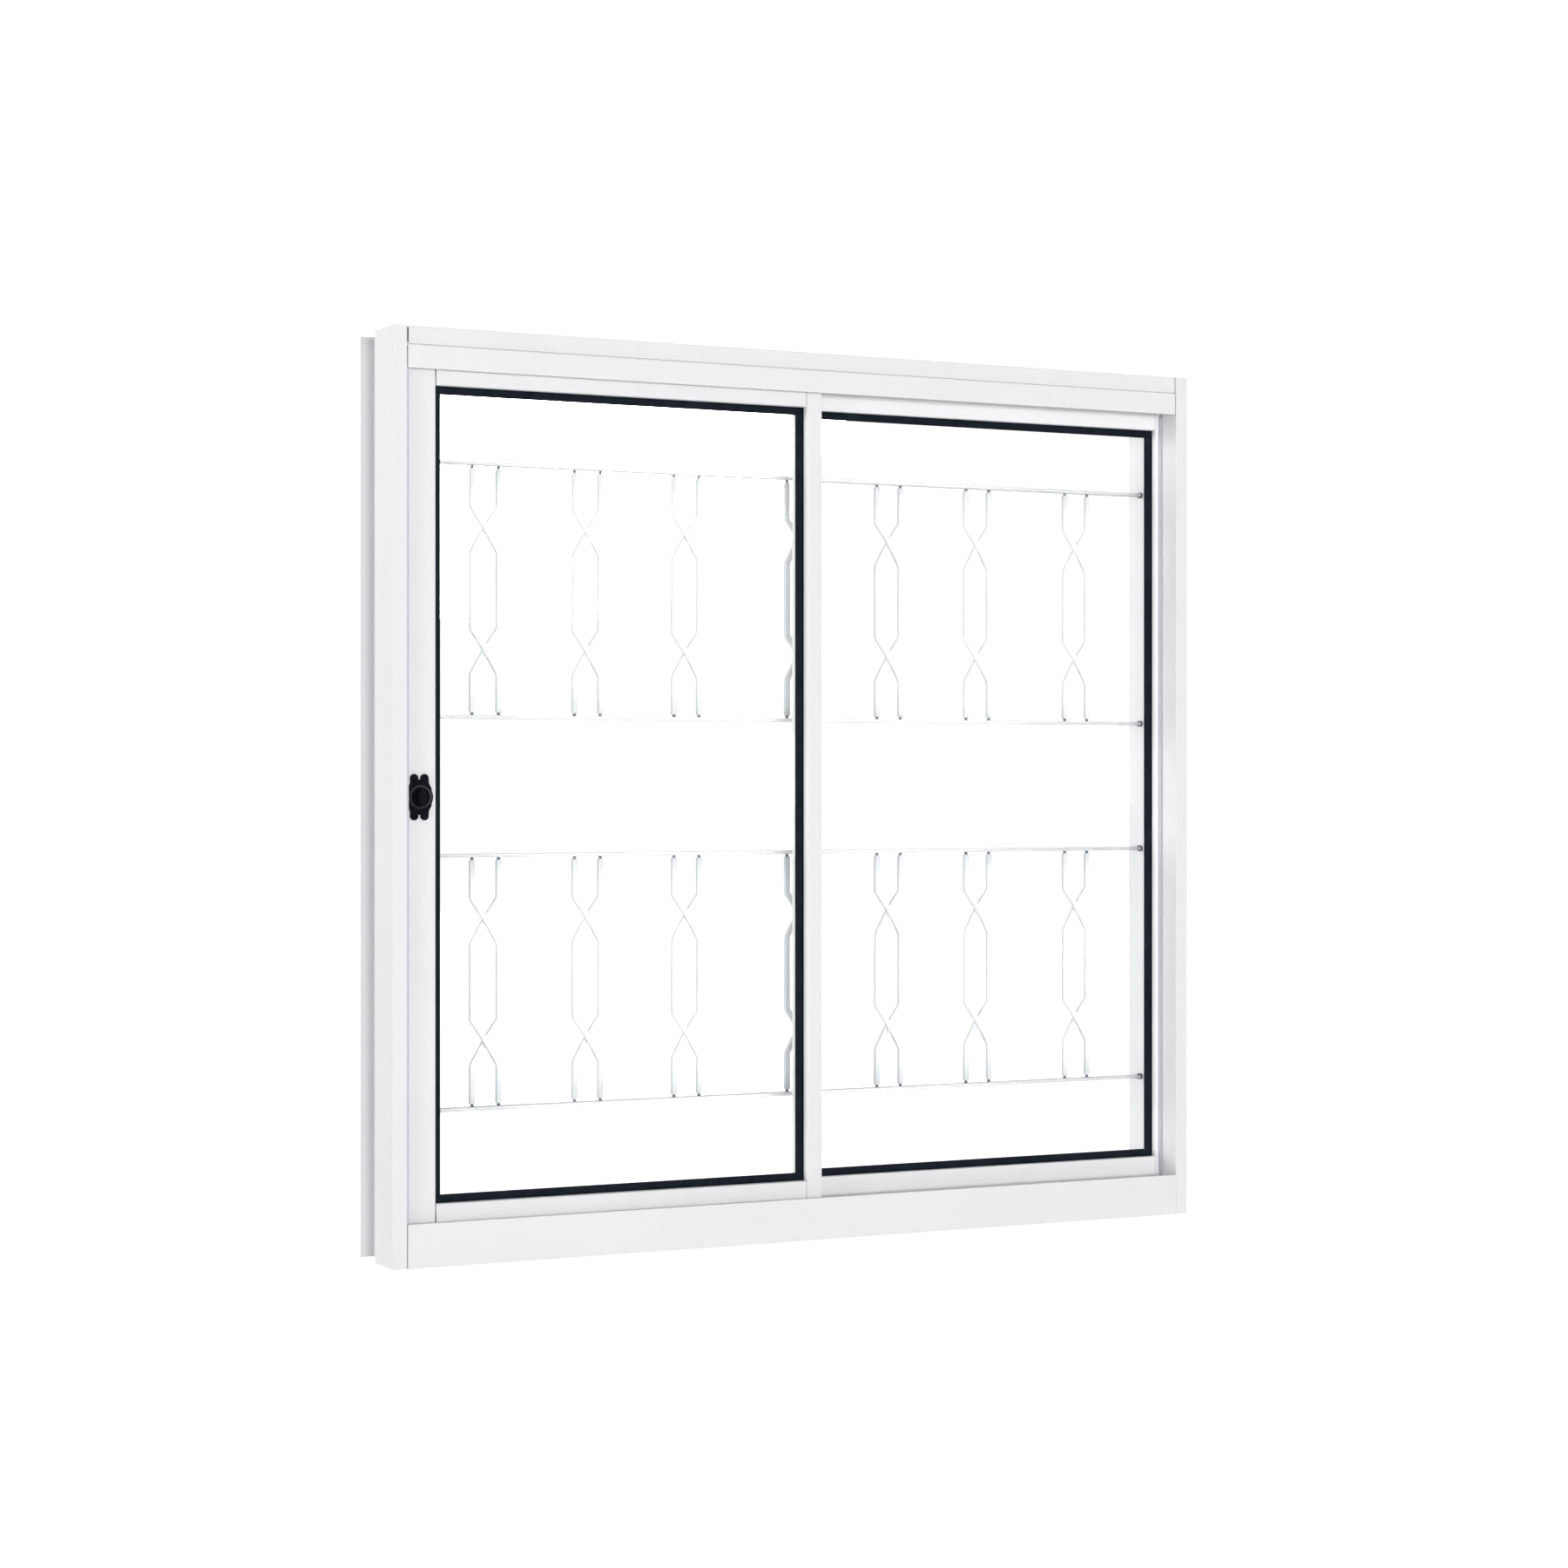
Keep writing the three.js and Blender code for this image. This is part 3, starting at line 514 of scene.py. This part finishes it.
def add_bar(bm, path):
    """A square bar with rounded corners along an upright path. Each end has a round tenon."""
    section = rounded_rectangle(BAR, BAR, BAR_ROUND)
    rings = []
    for i, point in enumerate(path):
        before = path[max(i - 1, 0)]
        after = path[min(i + 1, len(path) - 1)]
        along = Vector((after.x - before.x, 0, after.z - before.z)).normalized()
        across = Vector((along.z, 0, -along.x))
        rings.append([point + across * p.x + Vector((0, p.y, 0)) for p in section])
    skin(bm, rings)
    for end, way in ((path[0], -1), (path[-1], 1)):
        axis = Vector((0, 0, way))
        profile = [(0, -TENON_INSIDE), (TENON_R, -TENON_INSIDE), (TENON_R, TENON_LONG), (0, TENON_LONG)]
        solid_of_revolution(bm, end, axis, profile, 20, material=1)


def make_grille_pair(name):
    """Two bars that cross twice."""
    low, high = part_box(name)
    centre = (low.x + high.x) / 2
    gap = (high.x - low.x - BAR) / 2
    depth = (low.y + high.y) / 2
    bm = bmesh.new()
    for side in (-1, 1):
        path = bar_path(centre, side, gap, low.z + TENON_LONG, high.z - TENON_LONG, depth)
        add_bar(bm, soften(path, BEND_ROUND))
    # The grille's coat is a darker copy of the white: painted shade.
    materials = [GRILLE_COAT_PAINTED_SHADE, DARK_TENON_METAL]
    add_piece(name + "_bars", mesh_from(name, bm), "root", "grille_coat", materials, name)


def make_grille_rail(name):
    """A rail with rounded edges. Each end enters the grille frame through a round black bush."""
    low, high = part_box(name)
    centre = (low + high) / 2
    section = rounded_rectangle(high.y - low.y, high.z - low.z, RAIL_ROUND)
    bm = bmesh.new()
    rings = []
    for x in (low.x + BUSH_LONG, high.x - BUSH_LONG):
        rings.append([Vector((x, centre.y + p.x, centre.z + p.y)) for p in section])
    skin(bm, rings)
    past = BUSH_LONG + BUSH_RIM
    profile = [(0, 0), (BUSH_R, 0), (BUSH_R, BUSH_LONG - BUSH_RIM), (BUSH_R - BUSH_RIM, BUSH_LONG)]
    profile += [(TENON_R, BUSH_LONG), (TENON_R, past), (0, past)]
    for x, way in ((low.x, 1), (high.x, -1)):
        end = Vector((x, centre.y, centre.z))
        solid_of_revolution(bm, end, Vector((way, 0, 0)), profile, 24, material=1)
    # The grille's coat is a darker copy of the white: painted shade.
    materials = [GRILLE_COAT_PAINTED_SHADE, BLACK]
    add_piece(name + "_bar", mesh_from(name, bm), "root", "grille_coat", materials, name)


def make_grille():
    for number in range(1, 5):
        make_grille_rail(f"grille_rail_{number}")
    for panel in ("lower", "upper"):
        for number in range(1, 8):
            make_grille_pair(f"grille_pair_{panel}_{number}")


# ---------------------------------------------------------------- gaskets
def gasket_section(reach, hidden, front, back, glass_front, glass_back):
    """Rounded rubber lips on both sides of the pane. Points are (inwards, depth)."""
    dip = 0.7 * MM
    crest = 2.6 * MM
    lip = 0.35 * MM
    touch = 0.02 * MM
    web = 1.6 * MM
    steps = 10

    def side(outer, glass, way):
        rise = [(0.0, outer), (hidden - 0.4 * MM, outer), (hidden, outer + way * dip)]
        rise.append((hidden + crest / 2, outer + way * dip * 0.15))
        end = glass - way * lip
        for i in range(steps + 1):
            t = i / steps
            u = hidden + crest + (reach - hidden - crest) * t
            rise.append((u, outer + (end - outer) * (1 - math.cos(t * math.pi / 2)) ** 1.2))
        return rise + [(reach, glass - way * touch), (web, glass - way * touch)]

    return side(front, glass_front, 1) + side(back, glass_back, -1)[::-1]


def make_gasket(sash):
    """One closed loop of gasket round the pane, mitred at its corners."""
    name = f"{sash}_sash_gasket"
    low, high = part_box(name)
    glass_low, glass_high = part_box(f"{sash}_sash_glass")
    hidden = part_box(f"{sash}_sash_bottom_rail")[1].z - low.z
    reach = hidden + GASKET_SHOWS
    section = gasket_section(reach, hidden, low.y, high.y, glass_low.y, glass_high.y)
    bm = bmesh.new()
    rings = []
    for x, z, dx, dz in (
        (low.x, low.z, 1, 1),
        (high.x, low.z, -1, 1),
        (high.x, high.z, -1, -1),
        (low.x, high.z, 1, -1),
    ):
        rings.append([Vector((x + dx * inwards, y, z + dz * inwards)) for inwards, y in section])
    skin(bm, rings, closed=True)
    mesh = mesh_from(name, bm)
    piece = add_piece(f"{sash}_sash_glazing_gasket", mesh, f"{sash}_sash", "gasket", [RUBBER], name)
    crisp = piece.modifiers.new("crisp", "EDGE_SPLIT")
    crisp.split_angle = math.radians(50)


# ---------------------------------------------------------------- rollers
def make_wheel(sash, side):
    """A grooved roller wheel with a dished web, turned about its bore."""
    name = f"{sash}_sash_roller_{side}_wheel"
    low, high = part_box(name)
    centre = (low + high) / 2
    half = (high.y - low.y) / 2
    web = -half + WHEEL_DISH
    profile = [(WHEEL_BORE_R, -half + WHEEL_BORE_EDGE), (WHEEL_BORE_R + WHEEL_BORE_EDGE, -half)]
    profile += [(WHEEL_HUB_R, -half), (WHEEL_HUB_R + WHEEL_SLOPE, web)]
    profile += [(WHEEL_RIM_R - WHEEL_SLOPE, web), (WHEEL_RIM_R, -half)]
    profile += arc((WHEEL_R - WHEEL_ROUND, -half + WHEEL_ROUND), WHEEL_ROUND, -90, 0, 4)
    profile += [(WHEEL_R, -half + WHEEL_FLANGE), (WHEEL_RUN_R, -WHEEL_RUN_HALF)]
    profile += [(radius, -along) for radius, along in profile[::-1]]
    bm = bmesh.new()
    lathe(bm, centre, Vector((0, 1, 0)), profile, 56)
    piece = add_piece(name + "_turned", mesh_from(name, bm), name, "nylon", [NYLON], name)
    ease_edges(piece, 0.1 * MM, 2, 30)


# ---------------------------------------------------------------- latch
def prism(bm, points, front, back):
    """A plate of outline (x, z), from depth front to depth back."""
    skin(bm, [[Vector((p.x, y, p.y)) for p in points] for y in (front, back)])


def scratch_object(name, bm):
    """A flat-shaded object that only takes part in a boolean."""
    made = bpy.data.objects.new(name, mesh_from(name, bm, smooth=False))
    bpy.context.scene.collection.objects.link(made)
    return made


def combined(base, others, operation):
    """The mesh of base with the others joined to it or cut from it. The others are removed."""
    for other in others:
        step = base.modifiers.new("combine", "BOOLEAN")
        step.operation = operation
        step.solver = "EXACT"
        step.object = other
    bpy.context.view_layer.update()
    evaluated = base.evaluated_get(bpy.context.evaluated_depsgraph_get())
    mesh = bpy.data.meshes.new_from_object(evaluated)
    for other in others:
        bpy.data.objects.remove(other)
    return mesh


def union(name, parts):
    """One closed mesh from several overlapping closed meshes."""
    base, *others = [scratch_object(f"{name}_{i}", bm) for i, bm in enumerate(parts)]
    mesh = combined(base, others, "UNION")
    mesh.name = name
    bpy.data.objects.remove(base)
    mesh.shade_smooth()
    return mesh


def rounded_disc(bm, centre, radius, front, back, sides):
    """A round boss whose front edge is rolled over by a quarter circle."""
    thick = back - front
    profile = [(0, 0), (radius, 0)]
    profile += arc((radius - PLATE_EDGE, thick - PLATE_EDGE), PLATE_EDGE, 0, 90, 5)
    profile += [(0, thick)]
    solid_of_revolution(bm, Vector((centre.x, back, centre.y)), Vector((0, -1, 0)), profile, sides)


def make_latch_plate():
    """Round base with two pairs of ears, and a raised ring that the knob sits in."""
    low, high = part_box("latch_plate")
    middle = Vector(((low.x + high.x) / 2, (low.z + high.z) / 2))
    back = high.y
    front = back - PLATE_THICK
    parts = [bmesh.new()]
    rounded_disc(parts[0], middle, PLATE_R, front, back, 64)
    outline = [*NECK_HALF, *[(-u, v) for u, v in reversed(NECK_HALF)]]
    for up in (-1, 1):
        for side in (-1, 1):
            lobe = bmesh.new()
            at = middle + Vector((side * LOBE_OUT, up * LOBE_UP))
            rounded_disc(lobe, at, LOBE_R, front, back, 40)
            parts.append(lobe)
        neck = bmesh.new()
        corners = [middle + Vector((u * MM, up * v * MM)) for u, v in outline]
        prism(neck, corners[::up], front + NECK_BEHIND, back)
        parts.append(neck)
    mesh = union("latch_plate", parts)
    piece = add_piece("latch_plate_moulding", mesh, "front_sash", "black_plastic", [BLACK], "latch_plate")
    ease_edges(piece, 0.3 * MM, 2, 45)
    ring = bmesh.new()
    rise = front - low.y
    profile = [(RING_INNER_R, -RING_SUNK), (RING_OUTER_R, -RING_SUNK), (RING_OUTER_R, RING_SUNK)]
    profile += [(RING_PEAK_R + RING_SHOULDER, rise - RING_SHOULDER_DROP), (RING_PEAK_R, rise)]
    profile += [(RING_INNER_R + RING_CHAMFER, rise), (RING_INNER_R, rise - RING_CHAMFER_DROP)]
    lathe(ring, Vector((middle.x, front, middle.y)), Vector((0, -1, 0)), profile, 96)
    mesh = mesh_from("latch_ring", ring)
    add_piece("latch_ring", mesh, "front_sash", "black_plastic", [POLISHED_BLACK])


def make_latch_knob():
    """A dished disc with an upright oval grip across it, on its spindle."""
    low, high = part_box("latch_knob")
    plate_low, plate_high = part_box("latch_plate")
    x = (plate_low.x + plate_high.x) / 2
    z = (plate_low.z + plate_high.z) / 2
    seat = plate_high.y - PLATE_THICK - KNOB_SUNK
    axis = Vector((0, -1, 0))
    centre = Vector((x, seat, z))
    rim = seat - plate_low.y - KNOB_SUNK
    dish = bmesh.new()
    profile = [(0, 0), (KNOB_R, 0)]
    profile += [(KNOB_R + out * MM, rim + up * MM) for out, up in KNOB_DISH]
    profile += [(0, rim - KNOB_DISH_DEEP)]
    solid_of_revolution(dish, centre, axis, profile, 96)
    grip = bmesh.new()
    tall = seat - low.y
    turns = [math.radians(angle) for angle in range(0, 360, 8)]
    rings = []
    for share, depth in GRIP_SECTIONS:
        wide = GRIP_HALF_WIDE * share
        high_up = GRIP_HALF_TALL - GRIP_HALF_WIDE * (1 - share)
        y = seat - tall * depth
        rings.append([Vector((x + wide * math.cos(t), y, z + high_up * math.sin(t))) for t in turns])
    skin(grip, rings)
    spindle = bmesh.new()
    reach = high.y - seat
    shaft = [(0, SPINDLE_INSIDE), (SPINDLE_R, SPINDLE_INSIDE), (SPINDLE_R, -reach), (0, -reach)]
    solid_of_revolution(spindle, centre, axis, shaft, 32)
    mesh = union("latch_knob", [dish, grip, spindle])
    piece = add_piece("latch_thumb_knob", mesh, "latch_knob", "black_plastic", [BLACK], "latch_knob")
    ease_edges(piece, 0.3 * MM, 2, 38)


def make_latch_screw(name):
    """Pan-head screw with a cross recess."""
    low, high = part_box(name)
    x = (low.x + high.x) / 2
    z = (low.z + high.z) / 2
    head_r = (high.x - low.x) / 2
    back = low.y + SCREW_HEAD
    tip = back - high.y
    dome = (head_r - SCREW_HEAD_ROUND, SCREW_HEAD - SCREW_HEAD_ROUND)
    profile = [(0, tip), (SCREW_TIP_R, tip + SCREW_TIP_LONG), (SCREW_SHANK_R, tip + SCREW_TAPER_LONG)]
    profile += [(SCREW_SHANK_R, 0), (head_r, 0)]
    profile += arc(dome, SCREW_HEAD_ROUND, 0, 90, 5)
    profile += [(0, SCREW_HEAD)]
    bm = bmesh.new()
    solid_of_revolution(bm, Vector((x, back, z)), Vector((0, -1, 0)), profile, 40)
    mesh = mesh_from(name, bm)
    piece = add_piece(name + "_pan_head", mesh, "front_sash", "black_steel", [BLACK_STEEL], name)
    cutters = []
    for wide, tall in ((RECESS_LONG, RECESS_WIDE), (RECESS_WIDE, RECESS_LONG)):
        slot = bmesh.new()
        outline = [p + Vector((x, z)) for p in rounded_rectangle(wide, tall, RECESS_ROUND, 2)]
        prism(slot, outline, low.y - 1 * MM, low.y + RECESS_DEEP)
        cutters.append(scratch_object(f"{name}_recess_{len(cutters)}", slot))
    cut_mesh = combined(piece, cutters, "DIFFERENCE")
    piece.modifiers.clear()
    piece.data = cut_mesh
    ease_edges(piece, 0.12 * MM, 2, 35)


def make_latch():
    make_latch_plate()
    make_latch_knob()
    make_latch_screw("latch_screw_top")
    make_latch_screw("latch_screw_bottom")


# ---------------------------------------------------------------- small fittings
def slab(bm, low, high):
    """A closed box between two corners."""
    made = bmesh.ops.create_cube(bm, size=1)
    for vertex in made["verts"]:
        for i in range(3):
            vertex.co[i] = (low[i] + high[i]) / 2 + vertex.co[i] * (high[i] - low[i])


def make_pile_and_shade_line(name, low, high):
    """Brushed pile weatherstrip: a plain strip with rounded edges. Its grey also paints the shadow line
    where a jamb meets a sash.
    """
    bm = bmesh.new()
    slab(bm, low, high)
    piece = add_piece(name, mesh_from(name, bm, False), "root", "gasket", [PILE_PAINTED_SHADE])
    ease_edges(piece, 0.5 * MM, 3, 40)


def make_piles_and_shade_lines():
    """A strip on the left jamb ahead of the front sash, and one on the right ahead of the rear, each also
    painted shade for the shadow line at that joint.
    """
    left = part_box("jamb_left")
    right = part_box("jamb_right")
    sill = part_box("sill_profile")[1].z
    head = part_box("head_profile")[0].z
    front_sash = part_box("front_sash_latch_stile")[0].y
    rear_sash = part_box("rear_sash_outer_stile")[0].y
    wall = left[1].x
    low = (wall - PILE_SUNK, front_sash - PILE_FRONT_FROM, sill)
    make_pile_and_shade_line("pile_and_shade_line_jamb_left", low, (wall + PILE_OUT, front_sash - PILE_FRONT_TO, head))
    wall = right[0].x
    low = (wall - PILE_OUT, rear_sash - PILE_REAR_FROM, sill)
    make_pile_and_shade_line("pile_and_shade_line_jamb_right", low, (wall + PILE_SUNK, rear_sash - PILE_REAR_TO, head))


# ---------------------------------------------------------------- studio
def make_camera():
    data = bpy.data.cameras.new("camera")
    data.lens = CAMERA_LENS
    data.sensor_width = CAMERA_SENSOR
    data.clip_end = CAMERA_REACH
    camera = bpy.data.objects.new("camera", data)
    bpy.context.scene.collection.objects.link(camera)
    camera.location = CAMERA_AT
    camera.rotation_euler = CAMERA_LOOKS.to_track_quat("-Z", "Y").to_euler()
    bpy.context.scene.camera = camera


def not_bounced(tree, *depths):
    """1 for a ray that has made none of the listed kinds of bounce since the camera, else 0."""
    path = tree.nodes.new("ShaderNodeLightPath")
    bounces = path.outputs[depths[0]]
    for depth in depths[1:]:
        both = tree.nodes.new("ShaderNodeMath")
        tree.links.new(bounces, both.inputs[0])
        tree.links.new(path.outputs[depth], both.inputs[1])
        bounces = both.outputs["Value"]
    none = tree.nodes.new("ShaderNodeMath")
    none.operation = "LESS_THAN"
    none.inputs[1].default_value = 0.5
    tree.links.new(bounces, none.inputs[0])
    return none.outputs["Value"]


def make_floor():
    """A white sweep: it glows a little, and shows as plain white to the camera."""
    made, tree, shader = shader_of("studio_floor")
    vary_colour(tree, shader, noise(tree, 1.5), (0.90, 0.90, 0.90), (0.92, 0.92, 0.92))
    shader.inputs["Roughness"].default_value = 0.9
    shader.inputs["Specular IOR Level"].default_value = 0.1
    shader.inputs["Emission Color"].default_value = (1, 1, 1, 1)
    glow = tree.nodes.new("ShaderNodeMath")
    glow.operation = "MULTIPLY_ADD"
    glow.inputs[1].default_value = FLOOR_WHITER
    glow.inputs[2].default_value = FLOOR_GLOW
    tree.links.new(not_bounced(tree, "Diffuse Depth", "Glossy Depth"), glow.inputs[0])
    tree.links.new(glow.outputs["Value"], shader.inputs["Emission Strength"])
    mesh = bpy.data.meshes.new("floor")
    level = CAD_BOUNDS[0][2] - FLOOR_DROP
    corners = [(u * FLOOR_HALF, v * FLOOR_HALF, level) for u, v in ((-1, -1), (1, -1), (1, 1), (-1, 1))]
    mesh.from_pydata(corners, [], [(0, 1, 2, 3)])
    mesh.materials.append(made)
    floor = bpy.data.objects.new("floor", mesh)
    bpy.context.scene.collection.objects.link(floor)


def make_world():
    """A dim white room for fill, and a white backdrop for rays that have met nothing matt."""
    world = bpy.data.worlds.new("studio")
    bpy.context.scene.world = world
    world.use_nodes = True
    tree = world.node_tree
    fill = next(n for n in tree.nodes if n.type == "BACKGROUND")
    output = next(n for n in tree.nodes if n.type == "OUTPUT_WORLD")
    fill.inputs["Color"].default_value = (0.95, 0.98, 1.0, 1)
    fill.inputs["Strength"].default_value = ROOM_FILL
    backdrop = tree.nodes.new("ShaderNodeBackground")
    backdrop.inputs["Color"].default_value = (1, 1, 1, 1)
    backdrop.inputs["Strength"].default_value = BACKDROP
    mix = tree.nodes.new("ShaderNodeMixShader")
    tree.links.new(not_bounced(tree, "Diffuse Depth"), mix.inputs["Fac"])
    tree.links.new(fill.outputs["Background"], mix.inputs[1])
    tree.links.new(backdrop.outputs["Background"], mix.inputs[2])
    tree.links.new(mix.outputs["Shader"], output.inputs["Surface"])


def make_lamp(name, azimuth, height, width, strength):
    """A round softbox that gloss doesn't mirror, aimed at the object.

    Strength 1 fully lights a white surface that faces it.
    """
    data = bpy.data.lights.new(name, "AREA")
    data.shape = "DISK"
    data.size = width
    data.energy = strength * (math.pi * LAMP_AWAY) ** 2
    lamp = bpy.data.objects.new(name, data)
    lamp.visible_glossy = False
    bpy.context.scene.collection.objects.link(lamp)
    turn = math.radians(azimuth)
    lamp.location = (math.sin(turn) * LAMP_AWAY, -math.cos(turn) * LAMP_AWAY, height)
    aim = OBJECT_MIDDLE - lamp.location
    lamp.rotation_euler = aim.to_track_quat("-Z", "Y").to_euler()


def make_studio():
    make_camera()
    make_floor()
    make_world()
    for lamp in LAMPS:
        make_lamp(*lamp)
    bpy.context.scene.view_settings.view_transform = "Standard"


make_studio()
finish_cad_nodes()
make_grille()
for sash_name in ("front", "rear"):
    make_gasket(sash_name)
    for side_name in ("left", "right"):
        make_wheel(sash_name, side_name)
make_latch()
make_piles_and_shade_lines()

bpy.context.view_layer.update()
